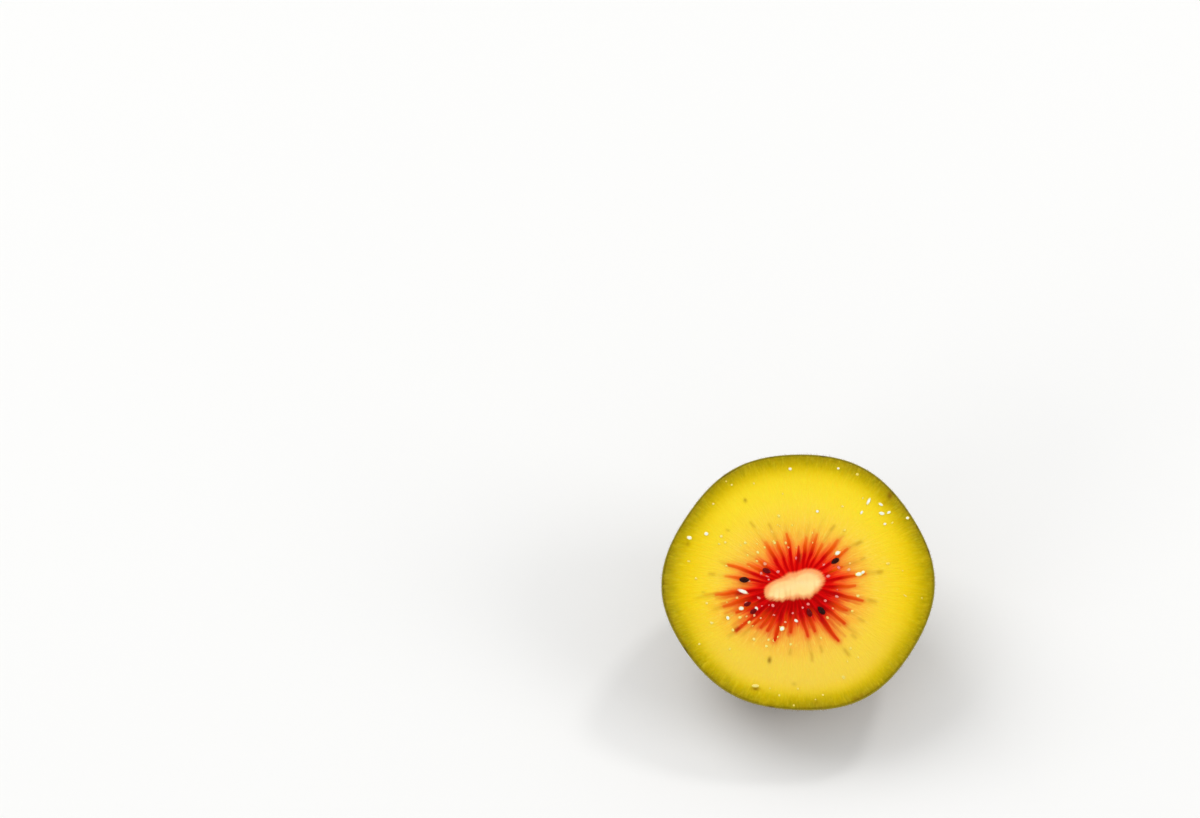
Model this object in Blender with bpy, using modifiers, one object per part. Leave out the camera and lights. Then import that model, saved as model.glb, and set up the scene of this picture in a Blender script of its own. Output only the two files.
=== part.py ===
"""Half of a red-fleshed kiwi fruit, cut across, resting on its skin with the cut face tilted up.

The fruit is turned in its own frame first: the cut face lies in the plane Z = 0, +Z points out of
the cut, +X runs along the long way of the oval and the skin runs down to the stem end at -Z.
Metres throughout.
"""
import math

import bmesh
import bpy
import numpy as np
from mathutils import Matrix, Vector

MM = 0.001

# The half fruit
FACE_RADIUS = 26.25 * MM          # mean radius of the cut face
HALF_DEPTH = 29.5 * MM            # from the cut face to the stem end
SHOULDER = 2.35                   # exponent of the side's curve: 2 is round, more is barrel-like
RIM_ROUND = 0.35 * MM             # the knife leaves a slightly soft rim
OUTLINE_WAVES = (                 # waves round the outline, height in mm, angle of a crest in degrees
    (1, 0.20, 33.0),
    (2, 0.58, 2.0),
    (3, 0.20, -47.0),
    (4, 0.12, 11.0),
    (6, 0.30, 0.0),
)
SIDES = 96
SKIN_RINGS = 20
SHARP_ANGLE = math.radians(35.0)

# The stem end
DIMPLE_DEPTH = 0.9 * MM
DIMPLE_RADIUS = 6.0 * MM
BUTTON_RADIUS = 3.0 * MM
BUTTON_HEIGHT = 1.1 * MM
BUTTON_CROWN = 0.8                # 1 is a full dome, 0 a flat disc
SCAR_RADIUS = 1.3 * MM
SCAR_DEPTH = 0.5 * MM
BUTTON_RINGS = (1.4, 1.15, 1.001, 0.97, 0.75, 0.55)    # shares of BUTTON_RADIUS, inwards
SCAR_RINGS = (1.0, 0.5, 0.0)                           # shares of SCAR_RADIUS, inwards

# The pale heart in the middle of the cut
CORE_CENTRE = (-0.7 * MM, 0.1 * MM)
CORE_HALF_LENGTH = 6.6 * MM
CORE_HALF_WIDTH = 3.0 * MM
CORE_TURN = math.radians(15.0)
CORE_BLUNTNESS = 2.4              # exponent of its outline: 2 is an ellipse
CORE_HEIGHT = 0.55 * MM

# The red rays: angle at the heart, angle at the tip (degrees from +X), distance of the tip (mm)
RAYS = (
    (8, 8, 13.7), (19, 20, 9.4), (29, 34, 12.0), (38, 46.5, 11.8), (45, 57.5, 9.2), (53, 68, 10.4),
    (60, 79, 9.4), (82, 88, 6.6), (95, 102, 10.0), (115, 116, 9.2), (140, 128, 10.2),
    (155, 150, 9.4), (163, 159, 10.6), (170, 165, 14.9), (176, 174.5, 14.9), (189, 188.5, 17.5),
    (196, 197.5, 16.1), (204, 206, 14.1), (213, 218, 16.1), (221, 223.5, 12.2), (226, 231, 11.6),
    (232, 238, 11.2), (238, 248, 12.9), (256, 262, 9.8), (278, 280.5, 11.2), (291, 290, 10.0),
    (312, 305, 14.5), (324, 319.5, 12.7), (333, 331, 11.2), (349, 345, 13.3), (356, 357, 10.4),
)
BETWEEN_RAY_REACH = 0.78          # a shorter ray fills each gap, to this share of its shorter neighbour
RAY_SIDES = 8
RAY_ROOT = 0.8                    # rays start under the heart, at this share of its outline
RAY_ROOT_WIDTH = 1.5 * MM
RAY_TIP_WIDTH = 0.4 * MM
RAY_HEIGHT = 0.45 * MM            # at the root; it falls with the width towards the tip

# The seeds that the knife left in the cut: angle in degrees, distance in mm
SEEDS = ((176.7, 10.6), (311, 7.2), (158.5, 6.6), (30.4, 8.7), (291.6, 6.3), (212.8, 10.4), (203, 10.8))
SEED_HALF_SIZE = Vector((1.1, 0.65, 0.75)) * MM
SEED_SEGMENTS = 8
SEED_RINGS = 6

# How the half lies: on a small flat spot, pressed where the tilted skin meets the table
FACE_TILT = math.radians(35.0)
FLAT_DEPTH = 1.3 * MM
CUTTER_HEIGHT = 10 * MM
CUTTER_WIDTH = 4 * FACE_RADIUS


def clear_scene():
    for obj in list(bpy.data.objects):
        bpy.data.objects.remove(obj, do_unlink=True)


def new_collection(name):
    collection = bpy.data.collections.new(name)
    bpy.context.scene.collection.children.link(collection)
    return collection


def new_material(name, colour, roughness):
    material = bpy.data.materials.new(name)
    material.use_nodes = True
    shader = material.node_tree.nodes["Principled BSDF"]
    shader.inputs["Base Color"].default_value = (*colour, 1.0)
    shader.inputs["Roughness"].default_value = roughness
    shader.inputs["Metallic"].default_value = 0.0
    material.diffuse_color = (*colour, 1.0)
    return material


def new_object(name, mesh, collection, *materials):
    obj = bpy.data.objects.new(name, mesh)
    collection.objects.link(obj)
    for material in materials:
        mesh.materials.append(material)
    return obj


def evaluated_mesh(obj):
    bpy.context.view_layer.update()
    depsgraph = bpy.context.evaluated_depsgraph_get()
    return bpy.data.meshes.new_from_object(obj.evaluated_get(depsgraph))


def primitive_mesh(name, make):
    """A mesh made by one bmesh primitive operator."""
    mesh = bpy.data.meshes.new(name)
    shape = bmesh.new()
    make(shape)
    shape.to_mesh(mesh)
    shape.free()
    return mesh


def polar(angle_degrees, distance):
    angle = math.radians(angle_degrees)
    return Vector((distance * math.cos(angle), distance * math.sin(angle), 0.0))


def outline_swell(angle):
    """How far the oval outline stands out from a circle at an angle in radians."""
    return sum(height * MM * math.cos(count * (angle - math.radians(crest)))
               for count, height, crest in OUTLINE_WAVES)


def stem_end_rise(radius):
    """Height of the dimple and the woody button in it, above the plain curve of the skin's end."""
    dimple = DIMPLE_DEPTH * math.exp(-((radius / DIMPLE_RADIUS) ** 2))
    if radius > BUTTON_RADIUS:
        return dimple
    button = BUTTON_HEIGHT * math.sqrt(1 - BUTTON_CROWN * (radius / BUTTON_RADIUS) ** 2)
    scar = SCAR_DEPTH * max(0.0, 1 - (radius / SCAR_RADIUS) ** 2)
    return dimple - button + scar


def skin_height(radius):
    """Height of the skin over the stem end, below the cut face, at a distance from the axis."""
    share = min(1.0, radius / FACE_RADIUS)
    plain = -HALF_DEPTH * (1 - share ** SHOULDER) ** (1 / SHOULDER)
    return plain + stem_end_rise(radius)


def half_profile():
    """From the middle of the cut face out to the rim, then down the skin to the stem end."""
    points = [(0.0, 0.0), (0.5 * FACE_RADIUS, 0.0)]
    inner = FACE_RADIUS - RIM_ROUND
    for turn in np.radians([90, 60, 30, 0]):
        points.append((inner + RIM_ROUND * math.cos(turn), RIM_ROUND * (math.sin(turn) - 1)))
    side_radii = [FACE_RADIUS * math.cos(turn) ** (2 / SHOULDER)
                  for turn in np.linspace(0.0, math.pi / 2, SKIN_RINGS + 1)[2:]]
    radii = [radius for radius in side_radii if radius > BUTTON_RINGS[0] * BUTTON_RADIUS]
    radii += [share * BUTTON_RADIUS for share in BUTTON_RINGS]
    radii += [share * SCAR_RADIUS for share in SCAR_RINGS]
    return points + [(radius, skin_height(radius)) for radius in radii]


def turned_half(collection, skin, flesh):
    """The whole half: the profile turned with a Screw modifier, then made oval by the outline."""
    profile = bpy.data.meshes.new("half_profile")
    points = [(radius, 0.0, height) for radius, height in half_profile()]
    profile.from_pydata(points, [(i, i + 1) for i in range(len(points) - 1)], [])
    turned = new_object("half_profile", profile, collection)
    screw = turned.modifiers.new("Turn", "SCREW")
    screw.axis = "Z"
    screw.steps = SIDES
    screw.render_steps = SIDES
    screw.use_merge_vertices = True
    screw.merge_threshold = 0.00001
    mesh = evaluated_mesh(turned)
    bpy.data.objects.remove(turned, do_unlink=True)

    for vertex in mesh.vertices:
        radius = math.hypot(vertex.co.x, vertex.co.y)
        if radius > 0.0:
            angle = math.atan2(vertex.co.y, vertex.co.x)
            stretch = 1 + outline_swell(angle) * radius / FACE_RADIUS ** 2
            vertex.co.x *= stretch
            vertex.co.y *= stretch
    mesh.name = "kiwi_half"
    half = new_object("kiwi_half", mesh, collection, skin, flesh)
    for polygon in mesh.polygons:
        polygon.material_index = 1 if polygon.center.z > -0.5 * RIM_ROUND else 0
    return half


def core_outline(angle):
    """Distance from the middle of the heart to its edge, an oval with blunt ends."""
    along = abs(math.cos(angle - CORE_TURN) / CORE_HALF_LENGTH) ** CORE_BLUNTNESS
    across = abs(math.sin(angle - CORE_TURN) / CORE_HALF_WIDTH) ** CORE_BLUNTNESS
    return (along + across) ** (-1 / CORE_BLUNTNESS)


def add_core(collection, material):
    """The pale heart, a low oval cushion standing a little out of the cut."""
    mesh = primitive_mesh("core", lambda shape: bmesh.ops.create_uvsphere(
        shape, u_segments=32, v_segments=10, radius=1.0))
    for vertex in mesh.vertices:
        edge = core_outline(math.atan2(vertex.co.y, vertex.co.x))
        vertex.co.x *= edge
        vertex.co.y *= edge
        vertex.co.z *= CORE_HEIGHT
    core = new_object("core", mesh, collection, material)
    core.location = (*CORE_CENTRE, 0.0)
    return core


def rays_between():
    """A shorter ray in the middle of each gap between two rays, all the way round the heart."""
    following = RAYS[1:] + RAYS[:1]
    for (root, tip, distance), (next_root, next_tip, next_distance) in zip(RAYS, following):
        turn = 360 if next_root < root else 0
        yield (0.5 * (root + next_root + turn), 0.5 * (tip + next_tip + turn),
               BETWEEN_RAY_REACH * min(distance, next_distance))


def add_ray(collection, material, index, root_degrees, tip_degrees, tip_distance):
    """One red ray: a slim ridge that tapers from the heart to its tip."""
    heart = Vector((*CORE_CENTRE, 0.0))
    root = heart + polar(root_degrees, RAY_ROOT * core_outline(math.radians(root_degrees)))
    tip = polar(tip_degrees, tip_distance * MM)
    run = tip - root
    mesh = primitive_mesh("ray", lambda shape: bmesh.ops.create_cone(
        shape, cap_ends=True, segments=RAY_SIDES, radius1=0.5 * RAY_ROOT_WIDTH,
        radius2=0.5 * RAY_TIP_WIDTH, depth=run.length))
    mesh.transform(Matrix.Rotation(math.pi / 2, 4, "Y"))
    mesh.transform(Matrix.Diagonal((1.0, 1.0, 2 * RAY_HEIGHT / RAY_ROOT_WIDTH, 1.0)))
    ray = new_object("ray_%02d" % index, mesh, collection, material)
    ray.location = 0.5 * (root + tip)
    ray.rotation_euler.z = math.atan2(run.y, run.x)
    return ray


def add_seed(collection, material, index, angle_degrees, distance):
    """One seed, lying along its ray and half sunk in the flesh."""
    mesh = primitive_mesh("seed", lambda shape: bmesh.ops.create_uvsphere(
        shape, u_segments=SEED_SEGMENTS, v_segments=SEED_RINGS, radius=1.0))
    mesh.transform(Matrix.Diagonal((*SEED_HALF_SIZE, 1.0)))
    seed = new_object("seed_%02d" % index, mesh, collection, material)
    seed.location = polar(angle_degrees, distance * MM)
    seed.rotation_euler.z = math.radians(angle_degrees)
    return seed


def fuse(half, details):
    """Join everything that stands out of the cut to the half, as one grown body."""
    union = half.modifiers.new("Grown together", "BOOLEAN")
    union.operation = "UNION"
    union.operand_type = "COLLECTION"
    union.collection = details
    union.solver = "EXACT"
    union.material_mode = "TRANSFER"
    mesh = evaluated_mesh(half)
    half.modifiers.remove(union)
    old = half.data
    half.data = mesh
    bpy.data.meshes.remove(old)
    mesh.name = "kiwi_half"
    for obj in list(details.objects):
        bpy.data.objects.remove(obj, do_unlink=True)
    bpy.data.collections.remove(details)


def lay_down(half, cutters):
    """Tilt the half, set it on the table under the middle of its box and cut its flat spot."""
    tilt = Matrix.Rotation(FACE_TILT, 4, "X")
    places = np.array([tilt @ vertex.co for vertex in half.data.vertices])
    low, high = places.min(axis=0), places.max(axis=0)
    middle = 0.5 * (low + high)
    half.rotation_euler.x = FACE_TILT
    half.location = (-middle[0], -middle[1], -low[2] - FLAT_DEPTH)

    bpy.ops.mesh.primitive_cube_add(size=1.0, location=(0, 0, -0.5 * CUTTER_HEIGHT))
    table = bpy.context.active_object
    table.name = "table_cutter"
    table.scale = (CUTTER_WIDTH, CUTTER_WIDTH, CUTTER_HEIGHT)
    table.hide_render = True
    table.display_type = "WIRE"
    for collection in list(table.users_collection):
        collection.objects.unlink(table)
    cutters.objects.link(table)
    flat = half.modifiers.new("Flat spot", "BOOLEAN")
    flat.operation = "DIFFERENCE"
    flat.object = table
    flat.solver = "EXACT"


def main():
    clear_scene()
    fruit = new_collection("kiwi_fruit")
    cutters = new_collection("cutters")
    details = new_collection("details")
    skin = new_material("skin", (0.16, 0.11, 0.035), 0.85)
    flesh = new_material("flesh", (0.83, 0.62, 0.03), 0.3)
    heart = new_material("heart", (0.95, 0.68, 0.32), 0.4)
    red = new_material("red_rays", (0.62, 0.015, 0.005), 0.3)
    black = new_material("seed", (0.015, 0.006, 0.004), 0.25)

    half = turned_half(fruit, skin, flesh)
    add_core(details, heart)
    for index, ray in enumerate((*RAYS, *rays_between())):
        add_ray(details, red, index, *ray)
    for index, seed in enumerate(SEEDS):
        add_seed(details, black, index, *seed)
    fuse(half, details)
    half.data.shade_smooth()
    half.data.set_sharp_from_angle(angle=SHARP_ANGLE)
    lay_down(half, cutters)


main()
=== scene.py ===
import math
import random

import bmesh
import bpy
import numpy as np
from mathutils import Matrix, Vector, noise


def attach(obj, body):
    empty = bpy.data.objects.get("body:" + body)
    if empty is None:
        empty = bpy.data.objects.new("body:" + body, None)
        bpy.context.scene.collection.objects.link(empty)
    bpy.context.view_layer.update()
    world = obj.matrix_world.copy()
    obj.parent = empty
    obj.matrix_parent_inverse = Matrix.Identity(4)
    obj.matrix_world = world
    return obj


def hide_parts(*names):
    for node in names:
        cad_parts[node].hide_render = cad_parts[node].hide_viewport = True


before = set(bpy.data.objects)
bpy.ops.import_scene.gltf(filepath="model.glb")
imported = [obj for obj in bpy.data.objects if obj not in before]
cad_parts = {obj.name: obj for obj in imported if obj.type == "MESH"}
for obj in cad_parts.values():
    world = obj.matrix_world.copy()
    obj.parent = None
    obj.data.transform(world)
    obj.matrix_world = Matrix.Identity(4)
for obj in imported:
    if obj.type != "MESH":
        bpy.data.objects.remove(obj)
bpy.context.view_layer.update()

# The half fruit as a shape.
# A red-fleshed kiwi grows as a short barrel with an oval section. Cut across its middle, each half is
# a deep cup of flesh in a thin brown peel, and it lies on the peel with the cut tilted up.
# Lengths are in millimetres in the fruit's own frame: the cut is the plane z = 0, +z points out of it.
MM = 0.001
FACE_RADIUS = 26.25
HALF_DEPTH = 29.5
SHOULDER = 2.35
# Waves on the outline: how many crests, how high, and where one crest is in degrees
OUTLINE_WAVES = ((1, 0.20, 33.0), (2, 0.58, 2.0), (3, 0.20, -47.0), (4, 0.12, 11.0), (6, 0.30, 0.0))
FACE_TILT = math.radians(35.0)
FLAT_DEPTH = 1.3
# Points at which the plain half is measured, round it and down its side, to find how it lies
MEASURED_ROUND = 360
MEASURED_DOWN = 180


def swell(angle, waves):
    """How far an outline stands out from its plain curve, for angles in radians."""
    return sum(height * np.cos(count * (angle - math.radians(crest))) for count, height, crest in waves)


def oval(angle, radius):
    """Where a point of the round profile goes on the oval fruit."""
    stretched = radius + swell(angle, OUTLINE_WAVES) * (radius / FACE_RADIUS) ** 2
    return stretched * np.cos(angle), stretched * np.sin(angle)


def side_height(radius):
    """Height of the plain curve of the side at a distance from the axis."""
    share = np.clip(radius / FACE_RADIUS, 0.0, 1.0)
    return -HALF_DEPTH * (1 - share ** SHOULDER) ** (1 / SHOULDER)


def side_radii(count):
    """Distances from the axis of points down the plain curve of the side, from the rim to its end."""
    return FACE_RADIUS * np.cos(np.linspace(0, math.pi / 2, count)) ** (2 / SHOULDER)


def lying_matrix():
    """Tilts the half, centres its box on the origin and sinks the depth of its flat spot into the floor."""
    turn = np.linspace(0, 2 * math.pi, MEASURED_ROUND)
    angle, radius = np.meshgrid(turn, side_radii(MEASURED_DOWN))
    x, y = oval(angle, radius)
    points = np.stack([x, y, side_height(radius)], axis=-1).reshape(-1, 3)
    tilt = Matrix.Rotation(FACE_TILT, 3, "X")
    lying = points @ np.array(tilt).T
    low, high = lying.min(axis=0), lying.max(axis=0)
    middle = 0.5 * (low + high)
    place = Vector((-middle[0], -middle[1], -low[2] - FLAT_DEPTH)) * MM
    return Matrix.Translation(place) @ tilt.to_4x4()


LYING = lying_matrix()

# The camera.
# It looks straight at the cut, from 55 degrees above the table, and keeps the half where the
# photograph has it in its 1200 x 818 frame, low and right of the middle.
FRAME_WIDTH = 1200
FRAME_HEIGHT = 818
FACE_PIXEL = (797.5, 583.0)
PIXELS_PER_MM = 4.98
CAMERA_DISTANCE = 500.0
SENSOR_WIDTH = 36.0
NEAREST_SEEN = 0.01

camera = bpy.data.objects.new("camera", bpy.data.cameras.new("camera"))
bpy.context.scene.collection.objects.link(camera)
bpy.context.scene.camera = camera
focal_pixels = PIXELS_PER_MM * CAMERA_DISTANCE
camera.data.sensor_width = SENSOR_WIDTH
camera.data.lens = focal_pixels * SENSOR_WIDTH / FRAME_WIDTH
camera.data.clip_start = NEAREST_SEEN
to_face = Vector((FACE_PIXEL[0] - FRAME_WIDTH / 2, FRAME_HEIGHT / 2 - FACE_PIXEL[1], -focal_pixels))
aside = to_face.rotation_difference(Vector((0, 0, -1)))
camera.matrix_world = LYING @ Matrix.Translation((0, 0, CAMERA_DISTANCE * MM)) @ aside.to_matrix().to_4x4()

# The table and the light.
# A plain white table under soft studio light: a broad soft box above and behind on the left, two more
# from the sides, a small one for the glints, and an even pale surround. None of them stands where the
# flat wet cut would mirror it into the camera, so the cut keeps its full colour.
TABLE_SIZE = 6.0
TABLE_COLOUR = (0.86, 0.855, 0.84, 1)
TABLE_ROUGHNESS = 0.6
# Name, place and width in metres, and power in watts
SOFT_BOXES = (
    ("broad_box", (-1.38, 1.12, 2.25), 2.0, 30.0),
    ("right_box", (2.38, -0.50, 1.50), 1.5, 20.0),
    ("left_box", (-2.00, -1.88, 0.95), 1.5, 13.0),
    ("glint_box", (0.75, 0.88, 1.38), 0.25, 4.4),
)
SURROUND = (0.93, 0.94, 0.95, 1)
SURROUND_STRENGTH = 0.65

bpy.ops.mesh.primitive_plane_add(size=TABLE_SIZE)
floor = bpy.context.active_object
floor.name = "table"
table_paint = bpy.data.materials.new("table")
table_paint.use_nodes = True
table_shader = table_paint.node_tree.nodes["Principled BSDF"]
table_shader.inputs["Base Color"].default_value = TABLE_COLOUR
table_shader.inputs["Roughness"].default_value = TABLE_ROUGHNESS
floor.data.materials.append(table_paint)

for name, place, size, power in SOFT_BOXES:
    lamp = bpy.data.lights.new(name, "AREA")
    lamp.size = size
    lamp.energy = power
    box = bpy.data.objects.new(name, lamp)
    bpy.context.scene.collection.objects.link(box)
    box.location = place
    box.rotation_mode = "QUATERNION"
    box.rotation_quaternion = (-Vector(place)).to_track_quat("-Z", "Y")

world = bpy.data.worlds.new("surround")
bpy.context.scene.world = world
world.use_nodes = True
background = world.node_tree.nodes["Background"]
background.inputs["Color"].default_value = SURROUND
background.inputs["Strength"].default_value = SURROUND_STRENGTH
bpy.context.scene.view_settings.view_transform = "Standard"

# The cut flesh.
# The juicy golden flesh as the knife left it, a disc that sits in the peel: flat, a little granular,
# with the pale heart standing slightly proud and the red rays running out from it past the seeds.
PEEL = 0.28
FLESH_SPOKES = 640
RAY_ZONE = 17.5
RAY_ZONE_STEP = 0.15
OUTER_STEP = 0.36
FLESH_WALL = 1.2
# Rings of the wall under the cut, as shares of the edge's distance and of the wall's depth
WALL_RINGS = ((1.0, 0.5), (1.0, 1.0), (0.5, 1.0))
EDGE_DIP = 0.05
EDGE_DIP_WIDTH = 0.3

# The heart, a blunt oval with waves on its outline as on the fruit's, and how it rises from the cut
CORE_CENTRE = (-0.55, -0.42)
CORE_HALF_LENGTH = 6.45
CORE_HALF_WIDTH = 2.87
CORE_TURN = math.radians(15.0)
CORE_BLUNTNESS = 2.15
CORE_WAVES = ((1, 0.28, -39.0), (3, 0.20, -32.0), (4, 0.12, 40.0), (5, 0.15, -26.0))
CORE_HEIGHT = 0.35
CORE_SLOPE = (0.3, -1.2)
CORE_EDGE = (0.85, -2.2)
CORE_FRINGE = 0.3
CORE_RIBS = 0.4
LOWER_CORE = (0.6, -2.2)
UPPER_CORE = (-0.6, 1.0)
UPPER_CORE_BEND = 0.10
RIB_WIDTH = 0.75
RIB_LENGTHWISE = 0.12
RIB_SHARPNESS = (0.0, 0.6)
RIB_STRENGTH = (0.35, 0.45)

# Angle at the heart, angle at the tip (degrees from +x) and distance of the tip
RAYS = (
    (8, 8, 13.7), (19, 20, 9.4), (29, 34, 12.0), (38, 46.5, 11.8), (45, 57.5, 9.2), (53, 68, 10.4),
    (60, 79, 9.4), (82, 87.6, 7.3), (95, 102, 10.0), (115, 116, 9.2), (140, 128, 10.2),
    (155, 150, 9.4), (163, 159, 10.6), (170, 165, 14.3), (176, 174.5, 14.3), (189, 188.5, 16.6),
    (196, 197.5, 15.3), (204, 206, 13.6), (213, 218, 15.4), (221, 223.5, 12.2), (226, 231, 11.6),
    (232, 238, 11.2), (238, 248, 12.3), (248, 254, 8.9), (256, 262, 9.8), (267, 269, 7.6),
    (278, 280.5, 10.8), (291, 290, 10.0), (301, 301, 8.2), (312, 305, 14.0), (324, 319.5, 12.3),
    (333, 331, 11.2), (349, 345, 13.3), (356, 357, 11.4),
)
RAY_HEIGHT = 0.10
# Where a ray starts and is broadest, as shares of the heart's outline and of its own length
RAY_ROOT = 0.8
RAY_BELLY = 0.5
# Each kind: half widths at root, belly and tip, how soft its edge is, and how far its tip fades
LONG_RAY = ((0.50, 0.46, 0.30), 0.45, (0.2, 0.8))
BETWEEN_RAY = ((0.28, 0.38, 0.28), 0.8, (0.2, 0.8))
RAY_GLOW = ((1.2, 1.8, 1.1), 1.0, (0.7, 0.8))
HAIR_RAY = ((0.30, 0.50, 0.36), 0.9, (0.7, 0.9))
# How the rays differ: in width, and the lower ones, which are broader and fade less
RAY_WIDTH_VARIES = (0.8, 1.2)
LOWER_RAY_TIPS = (0.0, -8.0)
LOW_RAY_BROADER = 0.35
LOW_RAY_CLEARER = 0.6
# Shares of its length between which a ray fades and turns orange, and how long it is if it turns
RAY_FADES = (0.75, 1.1)
RAY_TURNS = (0.60, 0.90)
TURNING_LENGTH = (7.0, 9.0)
BETWEEN_RAY_REACH = 0.62
BETWEEN_RAY_STRENGTH = 0.8
HAIR_RAYS = 64
HAIR_RAY_SHIFT = 0.4
HAIR_RAY_REACH = (0.70, 1.15)
WAVE_SIZE = 2.6
WAVE_REACH = 0.22

# Small blemishes of the cut: place, half width along x and y, and how dark
SPOTS = ((18.4, 17.4, 0.55, 0.75, 0.8), (17.6, 16.0, 0.7, 0.4, 0.3), (-10.4, 16.5, 0.34, 0.42, 0.6),
         (-5.6, -15.4, 0.40, 0.58, 0.7), (11.7, -22.9, 0.7, 0.4, 0.5), (12.6, -22.2, 0.4, 0.4, 0.35),
         (-8.4, -21.05, 0.8, 0.34, 0.9), (3.6, -23.6, 0.6, 0.5, 0.3), (-21.9, 7.8, 0.4, 0.5, 0.45),
         (-13.9, 10.5, 0.4, 0.3, 0.3), (-18.8, -1.9, 0.4, 0.3, 0.25), (-0.7, -20.1, 0.5, 0.4, 0.25))
# Seeds that show only as a shade under the flesh: angle, start and end
SUNKEN_SEEDS = ((84.7, 3.9, 6.0), (217.2, 14.5, 15.9), (191, 10.7, 12.7))
SUNKEN_HALF_WIDTH = 0.42

# Olive marks where the seed chambers end, past the tips of rays: angle, start and end
CHAMBER_ENDS = (
    (280.5, 13.8, 16.0), (249.6, 15.6, 17.0), (263.7, 13.0, 14.6), (316.4, 14.6, 16.2), (330, 13.6, 15.4),
    (346.7, 14.2, 16.2), (305.5, 15.8, 17.8), (8, 15.9, 17.3), (115.5, 11.7, 13.3), (127.3, 13.7, 15.5),
    (20.5, 13.2, 14.6), (32.7, 13.8, 15.4), (57.7, 12.2, 13.8), (174, 16.4, 18.0), (289.5, 13.0, 14.8),
)
CHAMBER_END_SHADE = 0.34
CHAMBER_END_HALF_WIDTH = 0.36
# The streak that carries each ray on: how far past the tip, how far back over it, and how dark
CHAMBER_REACH = (2.0, 4.0)
CHAMBER_OVERLAP = 1.5
CHAMBER_HALF_WIDTH = 0.45
CHAMBER_SHADE = (0.10, 0.30)
DARKEST_CHAMBER = 0.5
CHAMBER_ZONE = (7.5, 10.5)

# Where each tint of the cut sets in, in mm: by height on the face, or by distance from the heart
# The upper side gets painted light and the lower side a painted sheen, set in by height on the face
PAINTED_LIGHT_SIDE = (2.0, 18.0)
LOW_SIDE = (-2.0, -20.0)
LOW_RED = (3.0, -4.0)
LOW_WASH = (-0.5, -5.0)
HALO_REACH = (1.0, 10.5)
LOW_HALO_FURTHER = 3.5
WASH_REACH = (0.5, 4.9)
LOW_WASH_FURTHER = (2.5, 1.7)
WASH_RAGGED = 1.6
NEAR_HEART = (2.8, 0.4)
FIBRE_ZONE = (3.0, 7.0, 9.0, 15.0)
DARK_ZONE = (-0.2, 0.8, 2.5, 5.5)

# The grain of the cut: fibres that run outwards, fine across and long along, and soft lumps
FIBRES_ROUND = 30
FIBRE_LENGTHWISE = 0.25
FIBRE_FINENESS = 1.7
FIBRE_RELIEF = 0.03
FIBRES_START = (4, 9)
PULP_RELIEF = 0.02
PULP_SIZE = 0.55
LUMP_RELIEF = 0.06
LUMP_SIZE = 4.0

# Where the draws and the noise start, so that every run gives the same fruit
RAY_DRAW = 3
CHAMBER_DRAW = 5
HAIR_RAY_DRAW = 7
WAVE_NOISE = (12.0, 17.0)
FIBRE_NOISE = 5.0
RIB_NOISE = 2.0
PULP_NOISE = 3.0
LUMP_NOISE = 9.0


def smooth(low, high, value):
    """0 below low, 1 above high, and an even S between them."""
    t = np.clip((value - low) / (high - low), 0.0, 1.0)
    return t * t * (3 - 2 * t)


def within(limits, value):
    """0 outside the first and last of four limits, 1 between the middle two."""
    start, full, fading, gone = limits
    return smooth(start, full, value) * (1 - smooth(fading, gone, value))


def core_outline(angle):
    """Distance from the middle of the heart to its edge."""
    along = np.abs(np.cos(angle - CORE_TURN) / CORE_HALF_LENGTH) ** CORE_BLUNTNESS
    across = np.abs(np.sin(angle - CORE_TURN) / CORE_HALF_WIDTH) ** CORE_BLUNTNESS
    return (along + across) ** (-1 / CORE_BLUNTNESS) + swell(angle, CORE_WAVES)


def core_gap(x, y):
    """How far outside the heart's edge a point of the cut lies; negative inside the heart."""
    away_x, away_y = x - CORE_CENTRE[0], y - CORE_CENTRE[1]
    return np.hypot(away_x, away_y) - core_outline(np.arctan2(away_y, away_x))


def polar_point(degrees, distance):
    """A point of the cut by its angle and its distance from the axis."""
    angle = math.radians(degrees)
    return distance * math.cos(angle), distance * math.sin(angle)


def heart_point(degrees, share):
    """A point at a share of the heart's outline."""
    x, y = polar_point(degrees, share * float(core_outline(math.radians(degrees))))
    return CORE_CENTRE[0] + x, CORE_CENTRE[1] + y


def ray_depth(x, y, root, tip, half_widths):
    """1 along the middle of a ray, 0 from its edge outwards. Its widths are at root, belly and tip."""
    run_x, run_y = tip[0] - root[0], tip[1] - root[1]
    length = math.hypot(run_x, run_y)
    along = ((x - root[0]) * run_x + (y - root[1]) * run_y) / length ** 2
    across = ((x - root[0]) * run_y - (y - root[1]) * run_x) / length
    past = (np.maximum(along - 1, 0) + np.maximum(-along, 0)) * length
    half = np.interp(along, (0, RAY_BELLY, 1), half_widths)
    return np.clip(1 - np.hypot(across, past) / half, 0, 1)


def rays_between():
    """A shorter ray in each gap between two of the long ones."""
    following = RAYS[1:] + RAYS[:1]
    for (root, tip, distance), (next_root, next_tip, next_distance) in zip(RAYS, following):
        turn = 360 if next_root < root else 0
        yield (0.5 * (root + next_root + turn), 0.5 * (tip + next_tip + turn),
               BETWEEN_RAY_REACH * min(distance, next_distance))


def hair_rays(draw):
    """Fine red lines between the rays, thrown evenly round the heart with random lengths."""
    for index in range(HAIR_RAYS):
        tip = 360 * (index + draw.uniform(-HAIR_RAY_SHIFT, HAIR_RAY_SHIFT)) / HAIR_RAYS
        nearest = min(RAYS, key=lambda ray: abs((ray[1] - tip + 180) % 360 - 180))
        lean = (nearest[0] - nearest[1] + 180) % 360 - 180
        yield tip + lean, tip, nearest[2] * draw.uniform(*HAIR_RAY_REACH)


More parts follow.
